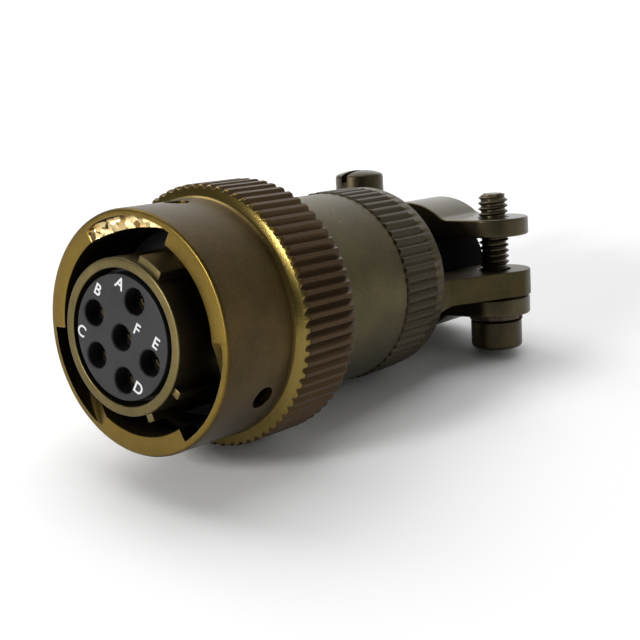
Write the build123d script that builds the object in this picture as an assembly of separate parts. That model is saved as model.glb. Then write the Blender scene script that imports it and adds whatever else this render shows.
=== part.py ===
from build123d import *
import os
from math import asin, cos, degrees, pi, radians, sin, sqrt

# A circular connector plug. A bayonet coupling nut turns on the plug shell, which holds a socket insert
# with six contacts. A smooth endbell follows, then a knurled clamp body with two arms. Two arched saddles
# are drawn together on a rubber bushing by two slotted screws, one put in from each side.
#
# The connector's axis is Y. The mating end looks to -Y, the cable leaves to +Y, and +Z is up. The origin is
# on the axis, in the plane of the coupling nut's front face, where the middle contact begins.
# All lengths are in millimetres and all angles in degrees. A station is a place along Y.

# Coupling nut
BARREL_R = 14.0
RIM_CHAMFER = 0.25
LAND_BORE_R = 11.6
TRACK_R = 13.2
LAND_COUNT = 3
GAP_SPREAD = 60.0
RAMP_FALL = 5.4
TRACK_TURN = 93.0
TRACK_FALL = 3.4
TRACK_WIDTH = 2.9
NUT_TURN = 7.0
VIEW_HOLE_R = 1.5
BARREL_LENGTH = 10.75
UNDERCUT_WIDTH = 0.35
UNDERCUT_R = 13.6
FLANGE_CONE_R = 15.1
FLANGE_CONE_RISE = 0.25
KNURL_R = 15.68
KNURL_DEPTH = 0.5
KNURL_RIDGES = 72
KNURL_TIP_SHARE = 0.5
KNURL_ROOT_SHARE = 0.14
KNURL_CHAMFER = 0.35
NUT_LENGTH = 20.26
NUT_WEB = 2.55
SKIRT_BORE_R = 13.3

# Plug shell
NOSE_R = 8.86
NOSE_BORE_R = 7.72
NOSE_REACH = 2.02
NOSE_CHAMFER = 0.15
CLOCK_ANGLE = 65.5
KEY_R = 9.8
KEY_SETBACK = 0.45
MAIN_KEY_WIDTH = 3.5
SIDE_KEY_WIDTH = 1.0
SIDE_KEY_TURNS = (-96.0, -129.0)
SHELL_FLANGE_R = 11.2
SHELL_FLANGE_STATION = 8.6
SHELL_FLANGE_THICKNESS = 1.6
JOURNAL_R = 9.45
REAR_THREAD_R = 9.3
COUNTERBORE_R = 8.2
COUNTERBORE_STATION = 9.0
INSERT_GROOVE_DEPTH = 0.4

# What carries the nut on the shell
SEAL_THICKNESS = 0.7
SEAL_SETBACK = 0.25
SPRING_HEIGHT = 1.5
SPRING_STRIP = 0.3
SPRING_WAVES = 3
THRUST_WASHER_THICKNESS = 0.7
RING_THICKNESS = 1.0
RING_DEPTH = 0.5
RING_R = 10.6
RING_SPLIT = 2.2

# Insert and contacts
INSERT_FACE_R = 7.1
INSERT_FACE_LENGTH = 2.0
INSERT_R = 7.6
INSERT_RECESS = 0.04
INSERT_COLLAR_R = 8.15
INSERT_COLLAR = 2.6
INSERT_REAR = 14.0
CONTACT_CIRCLE_R = 4.82
CONTACT_TURNS = {"a": 0.0, "b": 90.0, "c": 150.0, "d": -150.0, "e": -90.0}
CONTACT_HOLE_R = 1.5
CONTACT_R = 1.3
CONTACT_BORE_R = 0.8
CONTACT_BORE_DEPTH = 8.0
CONTACT_SLIT = 0.25
CONTACT_SLIT_LENGTH = 5.0
CONTACT_COLLAR_R = 1.75
CONTACT_COLLAR = 0.6
CUP_R = 1.45
CUP_BORE_R = 1.05
CUP_LENGTH = 5.0
CUP_DEPTH = 3.5
INSERT_RING_THICKNESS = 0.8
GROMMET_R = 7.9
GROMMET_LENGTH = 7.0
WIRE_HOLE_R = 1.6
FOLLOWER_PROUD = 0.3
FOLLOWER_BORE_R = 6.4
FOLLOWER_FLARE = 0.6

# Endbell
ENDBELL_R = 12.4
ENDBELL_GAP = 0.85
ENDBELL_LENGTH = 18.6
ENDBELL_ROUND = 0.25
ENDBELL_THREAD_LENGTH = 7.3
ENDBELL_WALL = 1.9
ENDBELL_STEP = 1.6
ENDBELL_CHAMFER = 0.3
CAVITY_FRONT_SLOPE = 0.8
CAVITY_BACK_SLOPE = 2.0
NECK_R = 10.4
NECK_BORE_R = 8.6
NECK_LENGTH = 4.9
NECK_CHAMFER = 0.4

# Clamp body
CLAMP_TURN = 7.0
CLAMP_R = 12.64
CLAMP_LENGTH = 8.8
CLAMP_WALL = 2.5
CLAMP_RIM_R = 12.5
CLAMP_RIM_WIDTH = 1.9
CLAMP_EDGE = 0.3
CLAMP_RIDGES = 60
CLAMP_RIDGE_DEPTH = 0.35
CLAMP_RIDGE_CHAMFER = 0.2
CLAMP_TIP_SHARE = 0.5
CLAMP_ROOT_SHARE = 0.18
CLAMP_FACE_GAP = 0.1
SCREW_SPREAD = 11.54
SCREW_REACH = 14.63
ARM_TOP = -0.35
ARM_THICKNESS = 3.6
ARM_ROOT_THICKNESS = 4.2
ARM_ROOT = 3.2
ARM_SLOPE = 5.0
ARM_END_R = 5.0

# Saddles and bushing
SADDLE_THICKNESS = 2.5
SADDLE_WIDTH = 10.0
SADDLE_LEVEL = 4.15
SADDLE_END_R = 4.8
SADDLE_FILLET = 2.0
UPPER_LIFT = 0.4
BUSHING_R = 6.3
BUSHING_BORE_R = 4.0
BUSHING_COLLAR_R = 10.2
BUSHING_LENGTH = 24.6
BUSHING_ROUND = 0.5

# Clamp screws and lock washers
SCREW_R = 2.085
SCREW_LENGTH = 17.95
SCREW_TIP_CHAMFER = 0.5
SCREW_HEAD_R = 3.6
SCREW_HEAD_HEIGHT = 4.45
SCREW_HEAD_CROWN = 0.7
SCREW_SLOT_WIDTH = 1.1
SCREW_SLOT_DEPTH = 1.7
SCREW_HOLE_R = 2.3
FAR_BACK_OFF = 1.5
NEAR_SLOT_TURN = 38.0
FAR_SLOT_TURN = -94.0
LOCK_WASHER_R = 3.75
LOCK_WASHER_STRIP = 0.62
LOCK_WASHER_HEIGHT = 0.88
LOCK_WASHER_SPLIT = 14.0

# Fits
RUN_GAP = 0.1
FLANGE_GAP = 0.4
THREAD_GAP = 0.05
FACE_GAP = 0.05
SEAT_GAP = 0.02

# How far a cutting solid runs past what it cuts
OVERCUT = 1.0

# Turn from one section to the next of a strip that is bent about an axis
STRIP_STEP = 7.5
LOCK_WASHER_STEP = 15.0

# Stations and radii that follow from the sizes above
SHELL_FLANGE_BACK = SHELL_FLANGE_STATION + SHELL_FLANGE_THICKNESS
THRUST_STATION = SHELL_FLANGE_BACK + SPRING_HEIGHT
WEB_STATION = THRUST_STATION + THRUST_WASHER_THICKNESS + FACE_GAP
WEB_BACK = WEB_STATION + NUT_WEB
RING_STATION = WEB_BACK + FACE_GAP
ENDBELL_STATION = RING_STATION + RING_THICKNESS + ENDBELL_GAP
SHELL_BACK = ENDBELL_STATION + ENDBELL_THREAD_LENGTH
ENDBELL_BACK = ENDBELL_STATION + ENDBELL_LENGTH
NECK_BACK = ENDBELL_BACK + NECK_LENGTH
CLAMP_STATION = ENDBELL_BACK + CLAMP_FACE_GAP
CLAMP_BACK = CLAMP_STATION + CLAMP_LENGTH
SCREW_STATION = CLAMP_BACK + SCREW_REACH
INSERT_FRONT = INSERT_RECESS - NOSE_REACH
GROMMET_BACK = INSERT_REAR + GROMMET_LENGTH
FOLLOWER_BACK = SHELL_BACK + FOLLOWER_PROUD
BORE_RUN = JOURNAL_R + RUN_GAP
SEAL_R = SHELL_FLANGE_R - SEAL_SETBACK
CHAMBER_R = SHELL_FLANGE_R + FLANGE_GAP
CHAMBER_STATION = SHELL_FLANGE_STATION - SEAL_THICKNESS


def polar(radius, angle, station=0.0):
    """A point on a circle about the connector's axis, 0 degrees at +X and 90 degrees at +Z."""
    return (radius * cos(radians(angle)), station, radius * sin(radians(angle)))


def turned(*points):
    """A solid turned about the Y axis from an outline of (radius, station) points."""
    return revolve(make_face(Polyline(*points, close=True)), Axis.Y)


def tube(outer_r, inner_r, front, back):
    return turned((inner_r, front), (outer_r, front), (outer_r, back), (inner_r, back))


def rod(radius, front, back):
    return turned((0, front), (radius, front), (radius, back), (0, back))


def knurled(tip_r, root_r, ridges, front, back, tip_share, root_share):
    """A disc along Y whose edge has straight ridges with flat tops and sloping flanks."""
    pitch = 360.0 / ridges
    half_tip = pitch * tip_share / 2
    half_root = pitch * root_share / 2
    edges = []
    for ridge in range(ridges):
        middle = ridge * pitch
        valley = middle + pitch / 2
        tip_end = polar(tip_r, middle + half_tip)
        root_start = polar(root_r, valley - half_root)
        root_end = polar(root_r, valley + half_root)
        next_tip = polar(tip_r, middle + pitch - half_tip)
        edges.append(ThreePointArc(polar(tip_r, middle - half_tip), polar(tip_r, middle), tip_end))
        edges.append(Line(tip_end, root_start))
        edges.append(ThreePointArc(root_start, polar(root_r, valley), root_end))
        edges.append(Line(root_end, next_tip))
    disc = extrude(make_face(edges), amount=back - front, dir=(0, 1, 0))
    return Pos(0, front, 0) * disc


def swept_ring(inner_r, outer_r, first_angle, last_angle, levels, step=STRIP_STEP):
    """A strip about the Y axis. levels(share) gives its front and back station along the turn."""
    count = max(2, round(abs(last_angle - first_angle) / step))
    sections = []
    for index in range(count + 1):
        share = index / count
        angle = first_angle + (last_angle - first_angle) * share
        front, back = levels(share)
        corners = [
            polar(inner_r, angle, front),
            polar(outer_r, angle, front),
            polar(outer_r, angle, back),
            polar(inner_r, angle, back),
        ]
        sections.append(Face(Wire.make_polygon([Vector(*corner) for corner in corners], close=True)))
    return loft(sections, ruled=True)


def wave_ring(inner_r, outer_r, middle, swing, strip, waves):
    """A washer bent into waves, made as one strip for each half wave."""
    halves = []
    half_turn = 180.0 / waves
    for index in range(2 * waves):
        side = 1 if index % 2 == 0 else -1

        def levels(share):
            centre = middle + side * swing * cos(pi * share)
            return centre - strip / 2, centre + strip / 2

        start = index * half_turn
        halves.append(swept_ring(inner_r, outer_r, start, start + half_turn, levels))
    ring = halves[0]
    for half in halves[1:]:
        ring += half
    return ring


def contact_places():
    """Name and place, as (x, z), of each contact in the insert."""
    places = {}
    for name, turn in CONTACT_TURNS.items():
        x, _, z = polar(CONTACT_CIRCLE_R, CLOCK_ANGLE + turn)
        places[name] = (x, z)
    places["f"] = (0.0, 0.0)
    return places


def make_coupling_nut():
    """The nut: barrel with lands and tracks, inner web that the shell carries, knurled rear flange."""
    cone_start = BARREL_LENGTH + UNDERCUT_WIDTH
    cone_end = cone_start + FLANGE_CONE_RISE
    root_r = KNURL_R - KNURL_DEPTH
    barrel = turned(
        (LAND_BORE_R, 0),
        (BARREL_R - RIM_CHAMFER, 0),
        (BARREL_R, RIM_CHAMFER),
        (BARREL_R, BARREL_LENGTH),
        (UNDERCUT_R, BARREL_LENGTH),
        (UNDERCUT_R, cone_start),
        (UNDERCUT_R, WEB_STATION),
        (LAND_BORE_R, WEB_STATION),
    )
    envelope = turned(
        (0, cone_start),
        (UNDERCUT_R, cone_start),
        (FLANGE_CONE_R, cone_end),
        (KNURL_R, cone_end + KNURL_CHAMFER),
        (KNURL_R, NUT_LENGTH - KNURL_CHAMFER),
        (root_r, NUT_LENGTH),
        (0, NUT_LENGTH),
    )
    ridges = knurled(
        KNURL_R, root_r, KNURL_RIDGES, cone_start, NUT_LENGTH, KNURL_TIP_SHARE, KNURL_ROOT_SHARE
    )
    hollow = turned(
        (0, cone_start - OVERCUT),
        (CHAMBER_R, cone_start - OVERCUT),
        (CHAMBER_R, WEB_STATION),
        (BORE_RUN, WEB_STATION),
        (BORE_RUN, WEB_BACK),
        (SKIRT_BORE_R, WEB_BACK),
        (SKIRT_BORE_R, NUT_LENGTH + OVERCUT),
        (0, NUT_LENGTH + OVERCUT),
    )
    nut = barrel + ((ridges & envelope) - hollow) - rod(CHAMBER_R, CHAMBER_STATION, WEB_STATION)
    for index in range(LAND_COUNT):
        nut -= track_cut(NUT_TURN + 360.0 / LAND_COUNT * index)
    return nut


def track_cut(start):
    """One bayonet track: an open lead-in ramp, then a covered track that ends at its view hole."""
    inner = LAND_BORE_R - OVERCUT
    outer = TRACK_R + OVERCUT
    track_start = start - GAP_SPREAD
    track_end = track_start - TRACK_TURN

    def ramp(share):
        return -OVERCUT, RAMP_FALL * share

    def track(share):
        back = RAMP_FALL + TRACK_FALL * share
        return back - TRACK_WIDTH, back

    limit = tube(TRACK_R, inner, -2 * OVERCUT, WEB_STATION)
    cut = swept_ring(inner, outer, start, track_start, ramp) & limit
    cut += swept_ring(inner, outer, track_start, track_end, track) & limit
    pin_station = RAMP_FALL + TRACK_FALL - TRACK_WIDTH / 2
    along = Plane(origin=polar(0, 0, pin_station), z_dir=polar(1, track_end))
    from_axis = (Align.CENTER, Align.CENTER, Align.MIN)
    track_end_round = along * Cylinder(TRACK_WIDTH / 2, TRACK_R, align=from_axis)
    view_hole = along * Cylinder(VIEW_HOLE_R, BARREL_R + OVERCUT, align=from_axis)
    return cut + ((track_end_round + view_hole) - rod(inner, 0, WEB_STATION))


def make_plug_shell():
    """The shell: nose with keys, flange that the nut bears on, journal, ring groove and rear thread."""
    groove_r = JOURNAL_R - RING_DEPTH
    ring_back = RING_STATION + RING_THICKNESS
    insert_groove = COUNTERBORE_STATION + INSERT_COLLAR + SEAT_GAP
    body = turned(
        (NOSE_BORE_R, -NOSE_REACH + NOSE_CHAMFER),
        (NOSE_BORE_R + NOSE_CHAMFER, -NOSE_REACH),
        (NOSE_R - NOSE_CHAMFER, -NOSE_REACH),
        (NOSE_R, -NOSE_REACH + NOSE_CHAMFER),
        (NOSE_R, SHELL_FLANGE_STATION),
        (SHELL_FLANGE_R, SHELL_FLANGE_STATION),
        (SHELL_FLANGE_R, SHELL_FLANGE_BACK),
        (JOURNAL_R, SHELL_FLANGE_BACK),
        (JOURNAL_R, RING_STATION),
        (groove_r, RING_STATION),
        (groove_r, ring_back),
        (REAR_THREAD_R, ring_back),
        (REAR_THREAD_R, SHELL_BACK),
        (COUNTERBORE_R, SHELL_BACK),
        (COUNTERBORE_R, insert_groove + INSERT_RING_THICKNESS),
        (COUNTERBORE_R + INSERT_GROOVE_DEPTH, insert_groove + INSERT_RING_THICKNESS),
        (COUNTERBORE_R + INSERT_GROOVE_DEPTH, insert_groove),
        (COUNTERBORE_R, insert_groove),
        (COUNTERBORE_R, COUNTERBORE_STATION),
        (NOSE_BORE_R, COUNTERBORE_STATION),
    )
    for turn, width in key_list():
        body += make_key(CLOCK_ANGLE + turn, width)
    return body


def key_list():
    keys = [(0.0, MAIN_KEY_WIDTH)]
    for turn in SIDE_KEY_TURNS:
        keys.append((turn, SIDE_KEY_WIDTH))
    return keys


def make_key(angle, width):
    """A key that runs along the nose to the seal, with its top turned to one radius."""
    front = KEY_SETBACK - NOSE_REACH
    back = SHELL_FLANGE_STATION - SEAL_THICKNESS
    bar = Box(KEY_R, back - front, width, align=(Align.MIN, Align.MIN, Align.CENTER))
    bar = Pos(0, front, 0) * bar
    bar = Rot(0, -angle, 0) * bar
    return bar & tube(KEY_R, (NOSE_R + NOSE_BORE_R) / 2, front, back)


def make_face_seal():
    """A flat rubber ring on the front of the shell's flange, cut out where the keys end."""
    front = SHELL_FLANGE_STATION - SEAL_THICKNESS
    return tube(SEAL_R, NOSE_R + SEAT_GAP, front, SHELL_FLANGE_STATION)


def make_wave_spring():
    swing = (SPRING_HEIGHT - SPRING_STRIP) / 2
    middle = SHELL_FLANGE_BACK + SPRING_HEIGHT / 2
    return wave_ring(
        JOURNAL_R + 2 * RUN_GAP, SHELL_FLANGE_R - RUN_GAP, middle, swing, SPRING_STRIP, SPRING_WAVES
    )


def make_thrust_washer():
    back = THRUST_STATION + THRUST_WASHER_THICKNESS
    return tube(SHELL_FLANGE_R, BORE_RUN, THRUST_STATION, back)


def make_retaining_ring():
    """A split ring in the shell's groove, which keeps the nut's web on the journal."""
    back = RING_STATION + RING_THICKNESS
    ring = tube(RING_R, JOURNAL_R - RING_DEPTH + SEAT_GAP, RING_STATION, back)
    split = Pos(0, RING_STATION, -RING_R) * Box(
        RING_SPLIT, RING_THICKNESS, RING_R, align=(Align.CENTER, Align.MIN, Align.CENTER)
    )
    return ring - split


def make_socket_insert():
    """The moulded disc that holds the contacts, with the collar that seats in the shell."""
    body = turned(
        (0, INSERT_FRONT),
        (INSERT_FACE_R, INSERT_FRONT),
        (INSERT_FACE_R, INSERT_FRONT + INSERT_FACE_LENGTH),
        (INSERT_R, INSERT_FRONT + INSERT_FACE_LENGTH),
        (INSERT_R, COUNTERBORE_STATION),
        (INSERT_COLLAR_R, COUNTERBORE_STATION),
        (INSERT_COLLAR_R, COUNTERBORE_STATION + INSERT_COLLAR),
        (INSERT_R, COUNTERBORE_STATION + INSERT_COLLAR),
        (INSERT_R, INSERT_REAR),
        (0, INSERT_REAR),
    )
    front_hole = rod(CONTACT_HOLE_R, INSERT_FRONT - OVERCUT, 0)
    hole = front_hole + rod(CONTACT_R + SEAT_GAP, 0, INSERT_REAR + OVERCUT)
    for x, z in contact_places().values():
        body -= Pos(x, 0, z) * hole
    return body


def make_contact(x, z):
    """A socket contact: slit front with its bore, collar behind the insert, cup for the wire."""
    collar_back = INSERT_REAR + CONTACT_COLLAR
    cup_back = collar_back + CUP_LENGTH
    body = turned(
        (CONTACT_BORE_R, 0),
        (CONTACT_R, 0),
        (CONTACT_R, INSERT_REAR),
        (CONTACT_COLLAR_R, INSERT_REAR),
        (CONTACT_COLLAR_R, collar_back),
        (CUP_R, collar_back),
        (CUP_R, cup_back),
        (CUP_BORE_R, cup_back),
        (CUP_BORE_R, cup_back - CUP_DEPTH),
        (0, cup_back - CUP_DEPTH),
        (0, CONTACT_BORE_DEPTH),
        (CONTACT_BORE_R, CONTACT_BORE_DEPTH),
    )
    slit = Box(4 * CONTACT_R, CONTACT_SLIT_LENGTH, CONTACT_SLIT, align=(Align.CENTER, Align.MIN, Align.CENTER))
    window = Pos(0, cup_back - CUP_DEPTH / 2, CUP_R) * Box(
        2 * CUP_R, CUP_DEPTH, CUP_R, align=(Align.CENTER, Align.MIN, Align.CENTER)
    )
    return Pos(x, 0, z) * (body - slit - window)


def make_insert_retaining_ring():
    """A split wire ring behind the insert's collar, sprung into the shell's inner groove."""
    front = COUNTERBORE_STATION + INSERT_COLLAR + SEAT_GAP
    outer_r = COUNTERBORE_R + INSERT_GROOVE_DEPTH - THREAD_GAP
    ring = tube(outer_r, INSERT_R + SEAT_GAP, front, front + INSERT_RING_THICKNESS - SEAT_GAP)
    split = Pos(0, front, -COUNTERBORE_R) * Box(
        RING_SPLIT, INSERT_RING_THICKNESS, COUNTERBORE_R, align=(Align.CENTER, Align.MIN, Align.CENTER)
    )
    return ring - split


def make_wire_grommet():
    """The rubber block behind the insert, one hole for each wire, recessed for the contact collars."""
    body = rod(GROMMET_R, INSERT_REAR, GROMMET_BACK)
    recess = rod(CONTACT_COLLAR_R + SEAT_GAP, INSERT_REAR, INSERT_REAR + CONTACT_COLLAR)
    hole = rod(WIRE_HOLE_R, INSERT_REAR, GROMMET_BACK)
    for x, z in contact_places().values():
        body -= Pos(x, 0, z) * (hole + recess)
    return body


def make_grommet_follower():
    """The ring that the endbell presses on the grommet."""
    return turned(
        (FOLLOWER_BORE_R, GROMMET_BACK),
        (GROMMET_R, GROMMET_BACK),
        (GROMMET_R, FOLLOWER_BACK),
        (FOLLOWER_BORE_R + FOLLOWER_FLARE, FOLLOWER_BACK),
    )


def make_endbell():
    """The smooth back housing: screwed on the shell, hollow, with a threaded neck for the clamp."""
    front_bore = REAR_THREAD_R + THREAD_GAP
    press_bore = FOLLOWER_BORE_R + FOLLOWER_FLARE
    cavity_r = ENDBELL_R - ENDBELL_WALL
    cavity_front = FOLLOWER_BACK + ENDBELL_STEP
    cavity_back = ENDBELL_BACK - ENDBELL_WALL
    outside = turned(
        (0, ENDBELL_STATION),
        (ENDBELL_R - ENDBELL_CHAMFER, ENDBELL_STATION),
        (ENDBELL_R, ENDBELL_STATION + ENDBELL_CHAMFER),
        (ENDBELL_R, ENDBELL_BACK),
        (NECK_R, ENDBELL_BACK),
        (NECK_R, NECK_BACK - NECK_CHAMFER),
        (NECK_R - NECK_CHAMFER, NECK_BACK),
        (0, NECK_BACK),
    )
    shoulder = [
        edge
        for edge in outside.edges().filter_by(GeomType.CIRCLE)
        if abs(edge.radius - ENDBELL_R) < 1e-6 and edge.center().Y > SHELL_BACK
    ]
    outside = fillet(shoulder, ENDBELL_ROUND)
    inside = turned(
        (0, ENDBELL_STATION - OVERCUT),
        (front_bore, ENDBELL_STATION - OVERCUT),
        (front_bore, FOLLOWER_BACK),
        (press_bore, FOLLOWER_BACK),
        (press_bore, cavity_front),
        (cavity_r, cavity_front + CAVITY_FRONT_SLOPE),
        (cavity_r, cavity_back - CAVITY_BACK_SLOPE),
        (NECK_BORE_R, cavity_back),
        (NECK_BORE_R, NECK_BACK + OVERCUT),
        (0, NECK_BACK + OVERCUT),
    )
    return outside - inside


def ear_plan(end_r):
    """Plan of one ear or arm end, as seen from above, about the screw at +X."""
    return Pos(SCREW_SPREAD, SCREW_STATION, 0) * Circle(end_r)


def make_arm():
    """The +X arm: a bar that leaves the ring's rear wall, deepest there, and widens to a round end."""
    root_bottom = ARM_TOP - ARM_ROOT_THICKNESS
    bottom = ARM_TOP - ARM_THICKNESS
    outer_root = sqrt(CLAMP_RIM_R**2 - root_bottom**2) - CLAMP_EDGE
    inner_edge = SCREW_SPREAD - ARM_END_R
    root = CLAMP_BACK - CLAMP_WALL / 2
    bar = make_face(
        Polyline(
            (inner_edge, root),
            (outer_root, root),
            (outer_root, CLAMP_BACK + ARM_ROOT),
            (SCREW_SPREAD + ARM_END_R, SCREW_STATION),
            (inner_edge, SCREW_STATION),
            close=True,
        )
    )
    plan = bar + ear_plan(ARM_END_R)
    arm = Pos(0, 0, root_bottom) * extrude(plan, amount=ARM_ROOT_THICKNESS)
    end = SCREW_STATION + ARM_END_R + OVERCUT
    side = Plane.YZ * make_face(
        Polyline(
            (root, ARM_TOP),
            (end, ARM_TOP),
            (end, bottom),
            (CLAMP_BACK + ARM_SLOPE, bottom),
            (CLAMP_BACK, root_bottom),
            (root, root_bottom),
            close=True,
        )
    )
    arm &= extrude(side, amount=2 * CLAMP_R)
    return arm - screw_hole(SCREW_SPREAD, SCREW_HOLE_R)


def screw_hole(x, radius):
    return Pos(x, SCREW_STATION, 0) * Cylinder(radius, 4 * CLAMP_R)


def make_clamp_body():
    """Knurled ring with a plain rear rim, rear wall with the bushing's hole, and the two arms."""
    knurl_back = CLAMP_BACK - CLAMP_RIM_WIDTH
    root_r = CLAMP_R - CLAMP_RIDGE_DEPTH
    ridges = knurled(
        CLAMP_R, root_r, CLAMP_RIDGES, CLAMP_STATION, knurl_back, CLAMP_TIP_SHARE, CLAMP_ROOT_SHARE
    )
    envelope = turned(
        (0, CLAMP_STATION),
        (root_r, CLAMP_STATION),
        (CLAMP_R, CLAMP_STATION + CLAMP_RIDGE_CHAMFER),
        (CLAMP_R, knurl_back - CLAMP_RIDGE_CHAMFER),
        (root_r, knurl_back),
        (0, knurl_back),
    )
    rim = turned(
        (0, knurl_back),
        (CLAMP_RIM_R, knurl_back),
        (CLAMP_RIM_R, CLAMP_BACK - CLAMP_EDGE),
        (CLAMP_RIM_R - CLAMP_EDGE, CLAMP_BACK),
        (0, CLAMP_BACK),
    )
    thread_bore = rod(NECK_R + THREAD_GAP, CLAMP_STATION - OVERCUT, CLAMP_BACK - CLAMP_WALL)
    body = (ridges & envelope) + rim - thread_bore
    arm = make_arm()
    body += arm
    body += mirror(arm, Plane.YZ)
    bushing_hole = rod(BUSHING_R + SEAT_GAP, CLAMP_BACK - CLAMP_WALL - OVERCUT, SCREW_STATION)
    return body - bushing_hole


def make_saddle(clear_side):
    """An arched bar over the bushing. The ear on clear_side has the wide hole, the other the thread."""
    arch_inner = BUSHING_R + 3 * RUN_GAP
    arch_outer = arch_inner + SADDLE_THICKNESS
    reach = SCREW_SPREAD + SADDLE_END_R
    front = SCREW_STATION - SADDLE_WIDTH / 2
    back = SCREW_STATION + SADDLE_WIDTH / 2
    bar = Pos(0, SCREW_STATION, SADDLE_LEVEL) * Box(
        2 * SCREW_SPREAD, SADDLE_WIDTH, SADDLE_THICKNESS, align=(Align.CENTER, Align.CENTER, Align.MIN)
    )
    for side in (1, -1):
        end = Cylinder(SADDLE_END_R, SADDLE_THICKNESS, align=(Align.CENTER, Align.CENTER, Align.MIN))
        bar += Pos(side * SCREW_SPREAD, SCREW_STATION, SADDLE_LEVEL) * end
    above = Pos(0, SCREW_STATION, SADDLE_LEVEL) * Box(
        2 * reach, 2 * SADDLE_WIDTH, 2 * arch_outer, align=(Align.CENTER, Align.CENTER, Align.MIN)
    )
    saddle = bar + (rod(arch_outer, front, back) & above)
    level = SADDLE_LEVEL + SADDLE_THICKNESS
    meets = sqrt(arch_outer**2 - level**2)
    corners = [
        edge
        for edge in saddle.edges().filter_by(Axis.Y)
        if abs(abs(edge.center().X) - meets) < SEAT_GAP and abs(edge.center().Z - level) < SEAT_GAP
    ]
    saddle = fillet(corners, SADDLE_FILLET)
    saddle -= rod(arch_inner, front - OVERCUT, back + OVERCUT)
    thread_r = SCREW_R + THREAD_GAP
    saddle -= screw_hole(clear_side * SCREW_SPREAD, SCREW_HOLE_R)
    saddle -= screw_hole(-clear_side * SCREW_SPREAD, thread_r)
    return saddle


def make_bushing():
    """The rubber tube that the saddles grip, held by its collar between neck and clamp wall."""
    collar_back = CLAMP_BACK - CLAMP_WALL
    back = NECK_BACK + BUSHING_LENGTH
    return turned(
        (BUSHING_BORE_R, NECK_BACK),
        (BUSHING_COLLAR_R, NECK_BACK),
        (BUSHING_COLLAR_R, collar_back),
        (BUSHING_R, collar_back),
        (BUSHING_R, back - BUSHING_ROUND),
        (BUSHING_R - BUSHING_ROUND, back),
        (BUSHING_BORE_R + BUSHING_ROUND, back),
        (BUSHING_BORE_R, back - BUSHING_ROUND),
    )


def make_screw():
    """A slotted screw along Z. Its head's bearing face is at z = 0 and its tip points down."""
    crown = SCREW_HEAD_HEIGHT - SCREW_HEAD_CROWN
    half = SCREW_HEAD_R
    side = Polyline(
        (0, -SCREW_LENGTH),
        (SCREW_R - SCREW_TIP_CHAMFER, -SCREW_LENGTH),
        (SCREW_R, SCREW_TIP_CHAMFER - SCREW_LENGTH),
        (SCREW_R, 0),
        (half, 0),
        (half, crown),
    )
    crown_r = (half**2 + SCREW_HEAD_CROWN**2) / (2 * SCREW_HEAD_CROWN)
    turn = degrees(asin(half / crown_r)) / 2
    middle = (crown_r * sin(radians(turn)), crown_r * cos(radians(turn)) - crown_r + SCREW_HEAD_HEIGHT)
    top = ThreePointArc((half, crown), middle, (0, SCREW_HEAD_HEIGHT))
    axis_line = Line((0, SCREW_HEAD_HEIGHT), (0, -SCREW_LENGTH))
    profile = Plane.XZ * make_face([*side.edges(), top, axis_line])
    body = revolve(profile, Axis.Z)
    slot = Pos(0, 0, SCREW_HEAD_HEIGHT - SCREW_SLOT_DEPTH) * Box(
        3 * half, SCREW_SLOT_WIDTH, 2 * SCREW_SLOT_DEPTH, align=(Align.CENTER, Align.CENTER, Align.MIN)
    )
    return body - slot


def make_lock_washer():
    """A split spring washer about the Z axis, from z = 0 up, with its two ends apart."""
    rise = LOCK_WASHER_HEIGHT - LOCK_WASHER_STRIP

    def levels(share):
        return -rise * share - LOCK_WASHER_STRIP, -rise * share

    coil = swept_ring(SCREW_HOLE_R, LOCK_WASHER_R, 0, 360 - LOCK_WASHER_SPLIT, levels, LOCK_WASHER_STEP)
    return Rot(-90, 0, 0) * coil


def main():
    washer_face = SADDLE_LEVEL + SADDLE_THICKNESS
    screw_face = washer_face + LOCK_WASHER_HEIGHT + FACE_GAP
    far_face = screw_face + UPPER_LIFT + FAR_BACK_OFF
    flip = Rot(180, 0, 0)
    clamp_turn = Rot(0, -CLAMP_TURN, 0)
    near = clamp_turn * Pos(SCREW_SPREAD, SCREW_STATION, 0)
    far = clamp_turn * Pos(-SCREW_SPREAD, SCREW_STATION, 0)
    screw = make_screw()
    washer = make_lock_washer()
    saddle = make_saddle(-1)
    parts = {
        "coupling_nut": make_coupling_nut(),
        "plug_shell": make_plug_shell(),
        "face_seal": make_face_seal(),
        "wave_spring": make_wave_spring(),
        "thrust_washer": make_thrust_washer(),
        "retaining_ring": make_retaining_ring(),
        "socket_insert": make_socket_insert(),
        "insert_retaining_ring": make_insert_retaining_ring(),
        "wire_grommet": make_wire_grommet(),
        "grommet_follower": make_grommet_follower(),
        "endbell": make_endbell(),
        "clamp_body": clamp_turn * make_clamp_body(),
        "upper_saddle": clamp_turn * Pos(0, 0, UPPER_LIFT) * saddle,
        "lower_saddle": clamp_turn * Rot(0, 180, 0) * saddle,
        "cable_bushing": make_bushing(),
        "near_clamp_screw": near * Pos(0, 0, -screw_face) * Rot(0, 0, NEAR_SLOT_TURN) * flip * screw,
        "far_clamp_screw": far * Pos(0, 0, far_face) * Rot(0, 0, FAR_SLOT_TURN) * screw,
        "near_lock_washer": near * Pos(0, 0, -washer_face) * flip * washer,
        "far_lock_washer": far * Pos(0, 0, washer_face + UPPER_LIFT) * washer,
    }
    for name, (x, z) in contact_places().items():
        parts["contact_" + name] = make_contact(x, z)
    os.makedirs("parts", exist_ok=True)
    for name, shape in parts.items():
        export_step(shape, f"parts/{name}.step")


main()
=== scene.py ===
from math import asin, cos, degrees, pi, radians, sin, sqrt

import bmesh
import bpy
from mathutils import Matrix, Vector


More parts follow.
